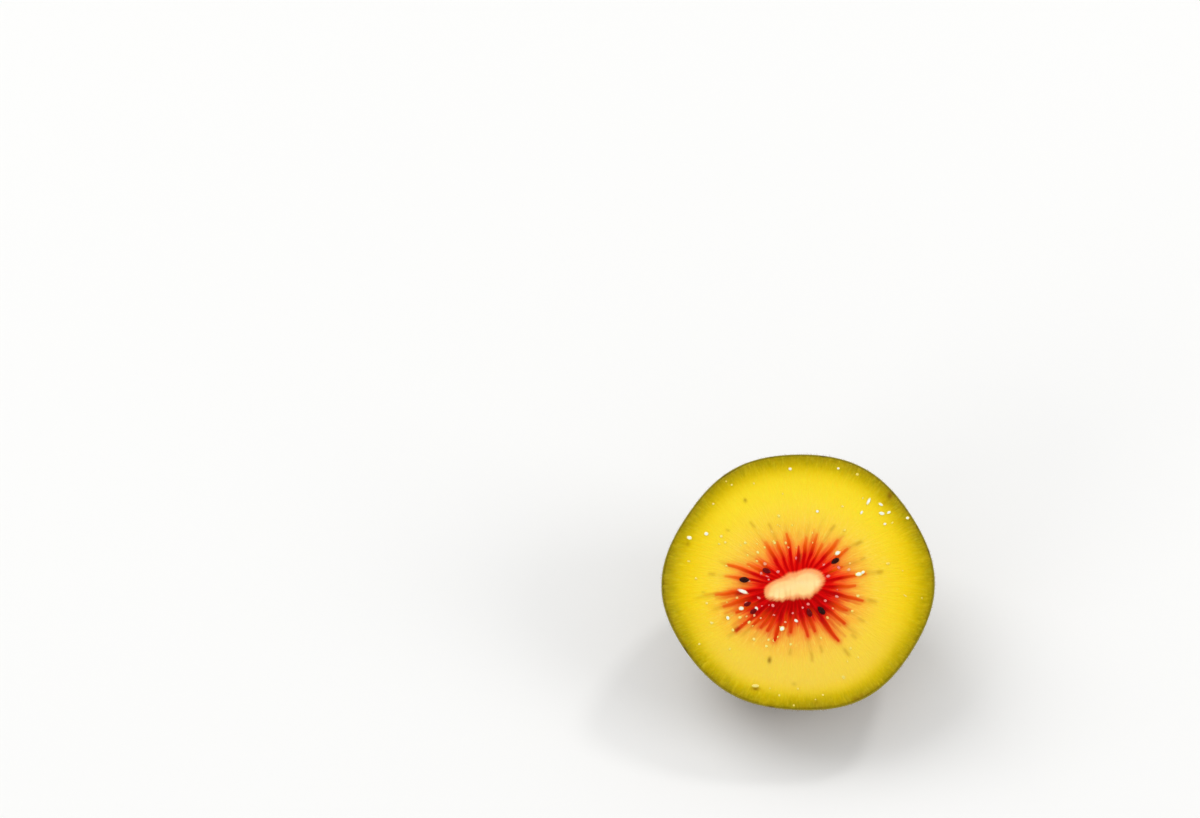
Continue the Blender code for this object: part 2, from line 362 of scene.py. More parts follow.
def ray_field(x, y, rays, kind):
    """How deep in a ray each point lies, with a soft edge and as it is, how near its tip, and its tone."""
    half_widths, edge, fade = kind
    field, deep, weights, tip_share, tone = (np.zeros_like(x) for _ in range(5))
    draw = random.Random(RAY_DRAW)
    for root_degrees, tip_degrees, distance in rays:
        tip = polar_point(tip_degrees, distance)
        lower = float(smooth(*LOWER_RAY_TIPS, tip[1]))
        broader = 1 + LOW_RAY_BROADER * lower
        widths = [half * broader * draw.uniform(*RAY_WIDTH_VARIES) for half in half_widths]
        depth = ray_depth(x, y, heart_point(root_degrees, RAY_ROOT), tip, widths)
        share = np.hypot(x, y) / distance
        deep = np.maximum(deep, depth)
        faintness = draw.uniform(*fade) * (1 - LOW_RAY_CLEARER * lower)
        depth = smooth(0.0, edge, depth) * (1 - faintness * smooth(*RAY_FADES, share))
        weight = depth ** 3
        weights += weight
        tip_share += weight * smooth(*RAY_TURNS, share) * smooth(*TURNING_LENGTH, distance)
        tone += weight * draw.uniform(-1, 1)
        field = np.maximum(field, depth)
    weights = np.maximum(weights, 1e-6)
    return field, deep, tip_share / weights, tone / weights


def smudge(x, y, degrees, start, end, half_width):
    """A soft mark that lies along a radius of the cut: 1 in its middle, gone at its ends."""
    ray_x, ray_y = polar_point(degrees, 1.0)
    along = (x * ray_x + y * ray_y - 0.5 * (start + end)) / (0.5 * (end - start))
    across = (x * ray_y - y * ray_x) / half_width
    facing = x * ray_x + y * ray_y > 0
    return facing * np.exp(-along ** 4 - across ** 2)


def chamber_shades(x, y):
    """The faint olive streaks that carry each ray on past its tip, and the marks at their ends."""
    draw = random.Random(CHAMBER_DRAW)
    shade = CHAMBER_END_SHADE * sum(smudge(x, y, *mark, CHAMBER_END_HALF_WIDTH) for mark in CHAMBER_ENDS)
    for _, degrees, distance in RAYS:
        end = distance + draw.uniform(*CHAMBER_REACH)
        darkness = draw.uniform(*CHAMBER_SHADE)
        shade += darkness * smudge(x, y, degrees, distance - CHAMBER_OVERLAP, end, CHAMBER_HALF_WIDTH)
    return np.minimum(shade, DARKEST_CHAMBER) * smooth(*CHAMBER_ZONE, np.hypot(x, y))


def grain(points, size, seed):
    """Smooth random relief between -1 and 1 with lumps of about the given size."""
    flat = (points / size).reshape(-1, 3) + seed
    return np.array([noise.noise(Vector(point)) for point in flat]).reshape(points.shape[:-1])


def ring_mesh(name, rings, first, last):
    """A closed mesh of rings of points, from a first point to a last one."""
    count, spokes = rings.shape[:2]
    points = np.concatenate([[first], rings.reshape(-1, 3), [last]]) * MM
    here = 1 + np.arange(spokes)
    there = 1 + (np.arange(spokes) + 1) % spokes
    quads = [np.stack([here, here + spokes, there + spokes, there], axis=1) + ring * spokes
             for ring in range(count - 1)]
    faces = [(0, a, b) for a, b in zip(here.tolist(), there.tolist())]
    faces += np.concatenate(quads).tolist()
    end = (count - 1) * spokes
    faces += [(a + end, len(points) - 1, b + end) for a, b in zip(here.tolist(), there.tolist())]
    mesh = bpy.data.meshes.new(name)
    mesh.from_pydata(points.tolist(), [], faces)
    mesh.shade_smooth()
    return mesh


def store(mesh, name, values):
    """Stores one number for each point of a mesh, for its finish to read."""
    attribute = mesh.attributes.new(name, "FLOAT", "POINT")
    attribute.data.foreach_set("value", np.asarray(values, dtype=np.float32))


def store_rings(mesh, name, values, first=0.0, last=0.0):
    """The same for a ring mesh, with the values of its first and last points."""
    store(mesh, name, np.concatenate([[first], values.ravel(), [last]]))


def add_piece(name, mesh, finish, place=LYING):
    """Puts a piece of the half where the half lies, or at a place of its own."""
    piece = bpy.data.objects.new(name, mesh)
    bpy.context.scene.collection.objects.link(piece)
    piece.matrix_world = place
    mesh.materials.append(finish)
    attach(piece, "root")
    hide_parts("kiwi_half")


class Shade:
    """A socket of a finish. Arithmetic on it adds Math nodes, and node() adds any other node."""

    def __init__(self, tree, socket):
        self.tree = tree
        self.socket = socket

    def node(self, kind, settings, inputs, output=0):
        """A new node: its settings or a ramp's stops first, then values or links for its sockets."""
        made = self.tree.nodes.new(kind)
        for key, value in settings.items():
            if key == "stops":
                ramp = made.color_ramp.elements
                for place, colour in value[1:-1]:
                    ramp.new(place).color = (*colour, 1)
                ramp[0].position, ramp[-1].position = value[0][0], value[-1][0]
                ramp[0].color, ramp[-1].color = (*value[0][1], 1), (*value[-1][1], 1)
            else:
                setattr(made, key, value)
        for key, value in inputs.items():
            if isinstance(value, Shade):
                self.tree.links.new(value.socket, made.inputs[key])
            else:
                made.inputs[key].default_value = value
        return Shade(self.tree, made.outputs[output])

    def math(self, operation, *values):
        """A Math node on this and other numbers."""
        return self.node("ShaderNodeMath", {"operation": operation}, dict(enumerate(values)))

    def __add__(self, other):
        return self.math("ADD", self, other)

    def __sub__(self, other):
        return self.math("SUBTRACT", self, other)

    def __rsub__(self, other):
        return self.math("SUBTRACT", other, self)

    def __mul__(self, other):
        return self.math("MULTIPLY", self, other)

    def __abs__(self):
        return self.math("ABSOLUTE", self)

    __radd__ = __add__
    __rmul__ = __mul__

    def step(self, low, high):
        """0 where this is below low, 1 above high, smooth between."""
        return self.node("ShaderNodeMapRange", {"interpolation_type": "SMOOTHSTEP"},
                         {"Value": self, "From Min": low, "From Max": high})

    def tint(self, under, over):
        """Goes from one colour to another as this goes from 0 to 1. Sockets 6 and 7 are a Mix's colours."""
        under, over = (colour if isinstance(colour, Shade) else (*colour, 1) for colour in (under, over))
        return self.node("ShaderNodeMix", {"data_type": "RGBA"}, {0: self, 6: under, 7: over}, output=2)

    def noise(self, scale, detail=2.0, rough=0.5):
        """Noise read at this vector, with lumps of about 1 / scale metres."""
        inputs = {"Vector": self, "Scale": scale, "Detail": detail, "Roughness": rough}
        return self.node("ShaderNodeTexNoise", {}, inputs)

    def cells(self, scale):
        """How far each point lies from the middle of its cell, with about scale cells to a unit."""
        return self.node("ShaderNodeTexVoronoi", {}, {"Vector": self, "Scale": scale})

    def stored(self, name):
        """A number stored on the mesh's points."""
        return self.node("ShaderNodeAttribute", {"attribute_name": name}, {}, output=2)

    def bump(self):
        """This as a height in metres."""
        return self.node("ShaderNodeBump", {}, {"Height": self, "Distance": 1.0})


def srgb(red, green, blue):
    """A colour as it shows on a screen, in the linear values that a shader takes."""
    shares = np.array([red, green, blue]) / 255
    return tuple(np.where(shares <= 0.04045, shares / 12.92, ((shares + 0.055) / 1.055) ** 2.4).tolist())


def new_finish(name, **constants):
    """A material, its shader and the fruit's own coordinates, in metres, to paint it by."""
    finish = bpy.data.materials.new(name)
    finish.use_nodes = True
    tree = finish.node_tree
    shader = tree.nodes["Principled BSDF"]
    for key, value in constants.items():
        shader.inputs[key.replace("_", " ")].default_value = value
    return finish, shader, Shade(tree, tree.nodes.new("ShaderNodeTexCoord").outputs["Object"])


def lay_on(shader, **channels):
    """Links painted values to the shader."""
    for key, value in channels.items():
        value.tree.links.new(value.socket, shader.inputs[key.replace("_", " ")])


# Colours from the heart to the peel, by share of the way out
GOLDEN = ((0.00, srgb(250, 176, 66)), (0.45, srgb(252, 194, 64)), (0.60, srgb(252, 210, 56)),
          (0.72, srgb(249, 212, 36)), (0.80, srgb(242, 205, 18)), (0.86, srgb(226, 193, 4)),
          (0.91, srgb(203, 174, 0)), (0.95, srgb(180, 155, 0)), (0.985, srgb(154, 130, 0)),
          (1.00, srgb(120, 98, 2)))
PAINTED_LIGHT_GOLDEN = srgb(255, 230, 56)
PAINTED_SHEEN_LOW_GOLDEN = srgb(240, 203, 82)
FIBRE_GOLDEN = srgb(255, 226, 96)
RIM_GREEN = srgb(140, 134, 0)
HALO = srgb(252, 118, 44)
WASH_SCARLET = srgb(255, 46, 20)
WASH_CRIMSON = srgb(230, 8, 8)
RAY_SCARLET = srgb(230, 6, 2)
RAY_CRIMSON = srgb(210, 0, 2)
RAY_DEEP_SCARLET = srgb(200, 0, 0)
RAY_DEEP_CRIMSON = srgb(178, 0, 0)
RAY_END = srgb(236, 92, 0)
DARK_RED = srgb(130, 0, 4)
HEART = srgb(255, 230, 164)
HEART_CLOUD = srgb(255, 220, 146)
HEART_RIB = srgb(246, 190, 116)
HEART_PEACH = srgb(255, 198, 118)
HEART_EDGE = srgb(255, 164, 100)
CHAMBER_OLIVE = srgb(172, 116, 4)
BLEMISH = srgb(128, 84, 2)
PULP_GLEAM = srgb(255, 232, 60)
# Heights of what is too fine for the mesh, in metres
PULP_BUMP = 0.03 * MM
CELL_BUMP = 0.04 * MM


def flesh_finish():
    finish, shader, place = new_finish(
        "golden_flesh", Subsurface_Weight=0.2, Subsurface_Radius=(1.0, 0.5, 0.1), Subsurface_Scale=0.0012,
        IOR=1.38, Specular_IOR_Level=0.05, Coat_Roughness=0.1, Coat_IOR=1.34)
    share = place.stored("share")
    low = place.stored("low_red")
    around = place.node("ShaderNodeAttribute", {"attribute_name": "around"}, {}, output=1)
    fibres = around.noise(1.0, 3.0, 0.6)
    strands = around.noise(2.4, 3.0, 0.6)
    blotches = place.noise(90.0, 3.0)
    freckles = place.noise(480.0, 3.0, 0.6)
    pulp = place.noise(1400.0, 2.0, 0.6)
    cells = around.cells(2.3)
    reach = share + (fibres - 0.5) * 0.05 * share.step(0.6, 0.95) + (blotches - 0.5) * 0.05
    golden = reach.node("ShaderNodeValToRGB", {"stops": GOLDEN}, {"Fac": reach})
    inner = 1 - share.step(0.76, 0.92)
    # Painted light and sheen: the upper side is painted a brighter gold, the lower side paler.
    golden = (place.stored("high_side") * inner * 0.4).tint(golden, PAINTED_LIGHT_GOLDEN)
    golden = (place.stored("low_side") * inner * 0.7).tint(golden, PAINTED_SHEEN_LOW_GOLDEN)
    rim = share.step(0.86, 0.98)
    golden = (rim * (strands * 0.35 + freckles * 0.65).step(0.46, 0.62) * 0.4).tint(golden, RIM_GREEN)
    golden = abs((pulp - 0.5) * 0.4 + (fibres - 0.5) * 0.6).tint(golden, PULP_GLEAM)
    golden = ((1 - cells.step(0.1, 0.55)) * 0.10).tint(golden, PULP_GLEAM)
    halo = (place.stored("halo") * (0.85 + (fibres - 0.5) * 0.9)).tint(golden, HALO)
    halo = (place.stored("fibre_zone") * strands.step(0.50, 0.66) * 0.45).tint(halo, FIBRE_GOLDEN)
    halo = place.stored("chamber").tint(halo, CHAMBER_OLIVE)
    crimson = low * 0.9 + place.stored("near_heart") * 0.6 + (fibres - 0.5) * 0.4
    wash = crimson.tint(WASH_SCARLET, WASH_CRIMSON)
    ray_tip = place.stored("ray_tip")
    tone = low - ray_tip * 0.9 + (strands - 0.5) * 0.4 + place.stored("ray_tone") * 0.22
    edge_red = tone.tint(RAY_SCARLET, RAY_CRIMSON)
    deep_red = tone.tint(RAY_DEEP_SCARLET, RAY_DEEP_CRIMSON)
    ray_red = place.stored("ray_depth").step(0.25, 0.85).tint(edge_red, deep_red)
    ray_red = (ray_tip * (0.95 - low * 0.3 - place.stored("low_side") * 0.8)).tint(ray_red, RAY_END)
    washed = place.stored("wash").tint(halo, wash)
    glowing = (place.stored("glow") * 0.7).tint(washed, wash)
    haired = (place.stored("hair_ray") * 0.4).tint(glowing, ray_red)
    rayed = place.stored("ray").tint(haired, ray_red)
    dark = (place.stored("dark") * strands.step(0.52, 0.72) * 0.6).tint(rayed, DARK_RED)
    dark = (place.stored("sunken") * 0.55).tint(dark, DARK_RED)
    marked = place.stored("spots").tint(dark, BLEMISH)
    core = place.stored("core")
    heart = blotches.step(0.4, 0.62).tint(HEART, HEART_CLOUD)
    heart = place.stored("rib").tint(heart, HEART_RIB)
    upper = place.stored("upper_heart")
    heart = (upper * 0.42).tint(heart, HEART_PEACH)
    heart = (core - upper * 0.15).step(0.38, 0.95).tint(HEART_EDGE, heart)
    colour = core.step(0.12, 0.5).tint(marked, heart)
    grown = (fibres + cells) * share.step(0.15, 0.4)
    lumps = (pulp * PULP_BUMP + grown * CELL_BUMP).bump()
    lay_on(shader, Base_Color=colour, Normal=lumps, Roughness=0.32 + blotches * 0.2 + pulp * 0.1,
           Coat_Weight=blotches.step(0.4, 0.65) * share.step(0.1, 0.5) * 0.22)
    return finish


def flesh_mesh():
    """A disc of close rings with its relief, and a wall down into the peel."""
    edge = FACE_RADIUS - PEEL
    radii = np.concatenate([np.arange(RAY_ZONE_STEP, RAY_ZONE, RAY_ZONE_STEP),
                            np.arange(RAY_ZONE, edge, OUTER_STEP)[:-1], [edge]])
    angle, radius = np.meshgrid(np.linspace(0, 2 * math.pi, FLESH_SPOKES, endpoint=False), radii)
    x, y = oval(angle, radius)
    gap = core_gap(x, y)
    level = np.stack([x, y, 0 * x], axis=-1)
    wavy_x, wavy_y = (flat + WAVE_REACH * grain(level, WAVE_SIZE, start)
                      for flat, start in zip((x, y), WAVE_NOISE))
    ray, ray_deep, ray_tip, ray_tone = ray_field(wavy_x, wavy_y, RAYS, LONG_RAY)
    between = ray_field(wavy_x, wavy_y, rays_between(), BETWEEN_RAY)[0]
    glow = ray_field(wavy_x, wavy_y, RAYS, RAY_GLOW)[0]
    hair_ray = ray_field(wavy_x, wavy_y, hair_rays(random.Random(HAIR_RAY_DRAW)), HAIR_RAY)[0]
    around = np.stack([FIBRES_ROUND * np.cos(angle), FIBRES_ROUND * np.sin(angle),
                       FIBRE_LENGTHWISE * radius], axis=-1)
    fibres = grain(around * FIBRE_FINENESS, 1.0, FIBRE_NOISE)
    sunken = sum(smudge(x, y, *mark, SUNKEN_HALF_WIDTH) for mark in SUNKEN_SEEDS)
    spots = sum(darkness * np.exp(-((x - middle_x) / half_x) ** 2 - ((y - middle_y) / half_y) ** 2)
                for middle_x, middle_y, half_x, half_y, darkness in SPOTS)
    low = smooth(*LOW_WASH, y)
    ribs = grain(np.stack([x, RIB_LENGTHWISE * y, 0 * x], axis=-1), RIB_WIDTH, RIB_NOISE)
    core_x, core_y = x - CORE_CENTRE[0], y - CORE_CENTRE[1]
    lower_core = smooth(*LOWER_CORE, core_y)
    along_core = core_x * math.cos(CORE_TURN) + core_y * math.sin(CORE_TURN)
    across_core = core_y * math.cos(CORE_TURN) - core_x * math.sin(CORE_TURN)
    core = smooth(*CORE_EDGE, gap + CORE_FRINGE * fibres + CORE_RIBS * ribs * lower_core)
    height = CORE_HEIGHT * smooth(*CORE_SLOPE, gap) + RAY_HEIGHT * ray * (1 - core)
    height += PULP_RELIEF * grain(level, PULP_SIZE, PULP_NOISE)
    height += FIBRE_RELIEF * fibres * smooth(*FIBRES_START, radius)
    height += LUMP_RELIEF * grain(level, LUMP_SIZE, LUMP_NOISE)
    height -= EDGE_DIP * smooth(edge - EDGE_DIP_WIDTH, edge, radius)
    top = np.stack([x, y, height], axis=-1)
    wall_x, wall_y = x[-1], y[-1]
    wall = [np.stack([reach * wall_x, reach * wall_y, np.full_like(wall_x, -depth * FLESH_WALL)], axis=-1)
            for reach, depth in WALL_RINGS]
    rings = np.concatenate([top, np.stack(wall)])
    mesh = ring_mesh("cut_flesh", rings, (0, 0, CORE_HEIGHT), (0, 0, -FLESH_WALL))

    wash_start, wash_end = (reach + further * low for reach, further in zip(WASH_REACH, LOW_WASH_FURTHER))
    rib_least, rib_more = RIB_STRENGTH
    for name, values in {
        "share": radius / FACE_RADIUS,
        "high_side": smooth(*PAINTED_LIGHT_SIDE, y),
        "low_side": smooth(*LOW_SIDE, y),
        "low_red": smooth(*LOW_RED, y),
        "halo": 1 - smooth(HALO_REACH[0], HALO_REACH[1] + LOW_HALO_FURTHER * low, gap),
        "wash": 1 - smooth(wash_start, wash_end, gap + WASH_RAGGED * fibres),
        "near_heart": smooth(*NEAR_HEART, gap),
        "upper_heart": smooth(*UPPER_CORE, across_core + UPPER_CORE_BEND * np.abs(along_core)),
        "rib": smooth(*RIB_SHARPNESS, ribs) * (rib_least + rib_more * lower_core),
        "ray": np.maximum(ray, BETWEEN_RAY_STRENGTH * between),
        "ray_depth": ray_deep,
        "ray_tip": ray_tip,
        "ray_tone": ray_tone,
        "glow": glow,
        "hair_ray": hair_ray,
        "fibre_zone": within(FIBRE_ZONE, gap),
        "dark": within(DARK_ZONE, gap),
        "sunken": sunken,
        "spots": spots,
        "chamber": chamber_shades(wavy_x, wavy_y),
        "core": core,
    }.items():
        # The wall goes on as the edge is. The middle point lies in the heart and in nothing else.
        down_wall = np.repeat(values[-1:], len(wall), axis=0)
        store_rings(mesh, name, np.concatenate([values, down_wall]), float(name == "core"))
    vectors = mesh.attributes.new("around", "FLOAT_VECTOR", "POINT")
    not_seen = np.zeros((len(wall) * FLESH_SPOKES + 1, 3))
    whole = np.concatenate([[[0, 0, 0]], around.reshape(-1, 3), not_seen])
    vectors.data.foreach_set("vector", whole.ravel().astype(np.float32))
    return mesh


add_piece("cut_flesh", flesh_mesh(), flesh_finish())

# The peel.
# A thin dry skin over the whole outside, olive brown with a fine pale network, which shows at the cut
# as a dark line. It ends in a shallow dimple with a woody button, where the fruit hung from its stalk.
PEEL_SPOKES = 420
PEEL_RINGS = 120
# Rings close below the rim, by depth, and on and round the button, by share of its radius
RIM_DEPTHS = (0.12, 0.3, 0.5)
BUTTON_EDGE = (1.05, 1.02, 1.0001, 0.9999, 0.98)
BUTTON_TOP = 0.94
NEAREST_SIDE_RING = 1.1
LAST_RING = 0.06
DIMPLE_DEPTH = 0.9
DIMPLE_RADIUS = 6.0
BUTTON_RADIUS = 3.0
BUTTON_HEIGHT = 1.1
BUTTON_CROWN = 0.8
SCAR_RADIUS = 1.3
SCAR_DEPTH = 0.5
BUTTON_RINGS = 26
# The lip at the cut, from inside to outside: distance from the axis and height
LIP_FOOT = -FLESH_WALL - 0.05
LIP = (
    (FACE_RADIUS - PEEL + 0.01, LIP_FOOT), (FACE_RADIUS - PEEL + 0.01, -0.10),
    (FACE_RADIUS - PEEL + 0.04, -0.04), (FACE_RADIUS - 0.13, -0.01), (FACE_RADIUS - 0.04, -0.04),
)
# Relief of the skin and of the button: height, size of its lumps, and where the noise starts
SKIN_RELIEF = ((0.16, 7.0, 1.0), (0.035, 1.1, 2.0), (0.02, 0.5, 4.0))
WOOD_RELIEF = (0.16, 0.55, 6.0)
WOOD_ROUND = 3
WOOD_OUTWARD = 0.6
# Depth in which the relief sets in, and where lip, wood and stem end leave off, in mm or shares
RELIEF_STARTS = (0.1, 1.5)
LIP_LEAVES = (-0.5, -0.05)
WOOD_LEAVES = (0.97, 1.06)
STEM_END_LEAVES = (3.0, 9.0)

GROUND_BROWN = srgb(94, 70, 26)
GROUND_OLIVE = srgb(90, 78, 18)
NET_BROWN = srgb(150, 116, 56)
NET_OLIVE = srgb(148, 128, 50)
PEEL_RUSSET = srgb(116, 78, 36)
PEEL_DARK = srgb(56, 42, 16)
PEEL_FLECK = srgb(184, 154, 98)
LIP_BROWN = srgb(98, 80, 8)
LIP_OLIVE = srgb(146, 132, 4)
BUTTON_WOOD = srgb(92, 64, 38)
SHEEN_TAN = srgb(220, 190, 140)
# Heights of what is too fine for the mesh, in metres
GRAIN_BUMP = 0.04 * MM
SCURF_BUMP = 0.08 * MM
NET_BUMP = 0.04 * MM
PORE_BUMP = 0.03 * MM
MOTTLE_BUMP = 0.06 * MM


def stem_end_rise(radius):
    """Height of the dimple and the woody button in it, above the plain curve of the end."""
    dimple = DIMPLE_DEPTH * np.exp(-((radius / DIMPLE_RADIUS) ** 2))
    inside = np.clip(radius / BUTTON_RADIUS, 0, 1)
    button = BUTTON_HEIGHT * np.sqrt(1 - BUTTON_CROWN * inside ** 2) * (radius <= BUTTON_RADIUS)
    scar = SCAR_DEPTH * np.clip(1 - (radius / SCAR_RADIUS) ** 2, 0, 1)
    return dimple - button + scar


def peel_radii():
    """Distances of the peel's rings from the axis, from the rim to the middle of the button."""
    side = side_radii(PEEL_RINGS)
    side = side[side > NEAREST_SIDE_RING * BUTTON_RADIUS]
    below_rim = FACE_RADIUS * (1 - (np.array(RIM_DEPTHS) / HALF_DEPTH) ** SHOULDER) ** (1 / SHOULDER)
    button_top = np.linspace(BUTTON_TOP * BUTTON_RADIUS, LAST_RING, BUTTON_RINGS)
    return np.concatenate([below_rim, side[1:], BUTTON_RADIUS * np.array(BUTTON_EDGE), button_top])


def outward(grid):
    """The direction straight out of a grid of rings, at each of its points."""
    round_step = np.roll(grid, -1, axis=1) - np.roll(grid, 1, axis=1)
    down_step = np.gradient(grid, axis=0)
    normal = np.cross(down_step, round_step)
    return normal / np.maximum(np.linalg.norm(normal, axis=-1, keepdims=True), 1e-9)


UPWARD = np.array(LYING)[2, :3]


def height_above_table(points):
    """How far points of the half are above the table as it lies, in millimetres."""
    return points @ UPWARD + LYING[2][3] / MM


def press_flat(points):
    """Moves what would reach below the table up onto it, straight up as the half lies."""
    below = np.minimum(height_above_table(points), 0.0)
    return points - below[..., None] * UPWARD


def peel_surface():
    """The outside of the peel as a grid of points, with its relief."""
    radii = peel_radii()
    angle, radius = np.meshgrid(np.linspace(0, 2 * math.pi, PEEL_SPOKES, endpoint=False), radii)
    x, y = oval(angle, radius)
    plain = np.stack([x, y, side_height(radius) + stem_end_rise(radius)], axis=-1)
    free = smooth(*RELIEF_STARTS, -plain[..., 2])
    woody = 1 - smooth(*WOOD_LEAVES, radius / BUTTON_RADIUS)
    skin = sum(height * grain(plain, size, start) for height, size, start in SKIN_RELIEF)
    spokes = np.stack([WOOD_ROUND * np.cos(angle), WOOD_ROUND * np.sin(angle),
                       WOOD_OUTWARD * radius], axis=-1)
    wood_height, wood_size, wood_start = WOOD_RELIEF
    relief = skin * (1 - woody) + woody * wood_height * grain(spokes, wood_size, wood_start)
    return plain + outward(plain) * (relief * free)[..., None], angle, radius, woody


def peel_mesh():
    """A closed skin: the lip's rings at the cut, then the outside down to the button."""
    outside, angle, radius, woody = peel_surface()
    outside = press_flat(outside)
    lip = []
    for reach, height in LIP:
        x, y = oval(angle[0], reach)
        lip.append(np.stack([x, y, np.full_like(x, height)], axis=-1))
    rings = np.concatenate([np.stack(lip), outside])
    middle = (0, 0, side_height(0.0) + stem_end_rise(0.0))
    mesh = ring_mesh("peel", rings, (0, 0, LIP_FOOT), middle)
    on_lip = np.ones((len(lip), PEEL_SPOKES))
    near_lip = smooth(*LIP_LEAVES, outside[..., 2])
    near_stem = 1 - smooth(*STEM_END_LEAVES, radius)
    store_rings(mesh, "lip", np.concatenate([on_lip, near_lip]), 1.0, 0.0)
    store_rings(mesh, "woody", np.concatenate([0 * on_lip, woody]), 0.0, 1.0)
    store_rings(mesh, "stem_end", np.concatenate([0 * on_lip, near_stem]), 0.0, 1.0)
    return mesh


def peel_finish():
    finish, shader, place = new_finish("brown_peel", Sheen_Weight=0.12, Sheen_Roughness=0.6,
                                       Sheen_Tint=(*SHEEN_TAN, 1), IOR=1.4)
    patches = place.noise(38.0, 3.0, 0.5)
    clouds = place.noise(75.0, 4.0, 0.6)
    mottle = place.noise(260.0, 4.0, 0.65)
    threads = place.noise(640.0, 3.0, 0.6)
    scurf = place.noise(950.0, 4.0, 0.7)
    grains = place.noise(2300.0, 2.0, 0.6)
    pores = (place.cells(560.0) + (scurf - 0.5) * 0.6 + (0.5 - mottle) * 0.3).step(0.02, 0.16)
    green = (patches * 0.7 + mottle * 0.3).step(0.38, 0.66)
    ground = green.tint(GROUND_BROWN, GROUND_OLIVE)
    worn = ((clouds * 0.5 + mottle * 0.5).step(0.50, 0.36) * 0.45).tint(ground, PEEL_DARK)
    net = abs(threads - 0.5).step(0.10, 0.015) * 0.6 + scurf.step(0.46, 0.62) * 0.5
    netted = (net * (0.55 + clouds * 0.5)).tint(worn, green.tint(NET_BROWN, NET_OLIVE))
    grained = (grains.step(0.48, 0.34) * 0.6).tint(netted, PEEL_DARK)
    flecked = ((1 - pores) * 0.4).tint(grained, PEEL_FLECK)
    ended = (place.stored("stem_end") * 0.6).tint(flecked, PEEL_RUSSET)
    wood = place.noise(900.0, 3.0, 0.7).tint(PEEL_DARK, BUTTON_WOOD)
    lip = (patches * 0.5 + mottle * 0.5).step(0.38, 0.48).tint(LIP_BROWN, LIP_OLIVE)
    colour = place.stored("lip").tint(place.stored("woody").tint(ended, wood), lip)
    relief = (grains * GRAIN_BUMP + scurf * SCURF_BUMP + net * NET_BUMP + (1 - pores) * PORE_BUMP
              + mottle * MOTTLE_BUMP)
    lay_on(shader, Base_Color=colour, Normal=relief.bump(), Roughness=0.58 + grains * 0.3 - green * 0.12)
    return finish


add_piece("peel", peel_mesh(), peel_finish())

# The fuzz.
# Short stiff hairs, golden brown, that grow thinly all over the peel and lean towards the stalk. Each
# is a fine three-sided spike, and none is left close above the spot that the half rests on.
HAIRS = 24000
HAIR_DRAW = 11
HAIR_LENGTH = (0.25, 0.75)
HAIR_WORN = (0.5, 1.0)
HAIR_WIDTH = 0.045
HAIR_SINK = 0.06
HAIR_CLEAR = 0.7
HAIRLESS_RINGS = 2
LEAN_SPREAD = 0.45
LEAN_TO_STALK = (0.0, 0.0, -0.35)
SPIKE_SIDES = ((0, 1, 3), (1, 2, 3), (2, 0, 3), (0, 2, 1))
HAIR_COLOUR = srgb(150, 116, 68)
HAIR_TIP_COLOUR = srgb(196, 164, 112)


def hair_roots(count, draw):
    """Random points spread evenly over the outside of the peel, with the direction out of it."""
    grid = press_flat(peel_surface()[0])[HAIRLESS_RINGS:-BUTTON_RINGS]
    normals = outward(grid)
    low_row, high_row = grid[:-1], grid[1:]
    area = np.linalg.norm(np.cross(high_row - low_row, np.roll(low_row, -1, axis=1) - low_row), axis=-1)
    chosen = draw.choice(area.size, size=count, p=area.ravel() / area.sum())
    row, spoke = np.unravel_index(chosen, area.shape)
    down, aside = draw.random((2, count, 1))
    after = (spoke + 1) % PEEL_SPOKES
    upper = grid[row, spoke] * (1 - aside) + grid[row, after] * aside
    lower = grid[row + 1, spoke] * (1 - aside) + grid[row + 1, after] * aside
    return upper * (1 - down) + lower * down, normals[row, spoke]


def copies_mesh(name, points, faces):
    """One mesh of many small separate shapes: points come as shape by shape, faces as those of one."""
    count, each = points.shape[:2]
    whole = [tuple(corner + each * index for corner in face) for index in range(count) for face in faces]
    mesh = bpy.data.meshes.new(name)
    mesh.from_pydata((points.reshape(-1, 3) * MM).tolist(), [], whole)
    return mesh


def fuzz_mesh():
    """All the hairs in one mesh: three points at each root and one at its tip."""
    draw = np.random.default_rng(HAIR_DRAW)
    roots, normals = hair_roots(HAIRS, draw)
    kept = height_above_table(roots) > HAIR_CLEAR
    roots, normals = roots[kept], normals[kept]
    count = len(roots)
    lean = draw.normal(0.0, LEAN_SPREAD, (count, 3)) + LEAN_TO_STALK
    way = normals + lean
    way /= np.linalg.norm(way, axis=1, keepdims=True)
    length = draw.uniform(*HAIR_LENGTH, (count, 1)) * draw.uniform(*HAIR_WORN, (count, 1))
    side = np.cross(way, draw.normal(0.0, 1.0, (count, 3)))
    side /= np.linalg.norm(side, axis=1, keepdims=True)
    other = np.cross(way, side)
    corners = [roots - way * HAIR_SINK + 0.5 * HAIR_WIDTH * (math.cos(turn) * side + math.sin(turn) * other)
               for turn in (0, 2 * math.pi / 3, 4 * math.pi / 3)]
    points = np.stack([*corners, roots + way * length], axis=1)
    mesh = copies_mesh("fuzz", points, SPIKE_SIDES)
    store(mesh, "tip", np.tile([0.0, 0.0, 0.0, 1.0], count))
    return mesh


def fuzz_finish():
    finish, shader, place = new_finish("fuzz", IOR=1.45, Sheen_Weight=0.2)
    shade = place.noise(300.0, 2.0)
    colour = (place.stored("tip") * 0.7 + shade * 0.3).tint(HAIR_COLOUR, HAIR_TIP_COLOUR)
    lay_on(shader, Base_Color=colour, Roughness=0.45 + shade * 0.2)
    return finish


add_piece("fuzz", fuzz_mesh(), fuzz_finish())

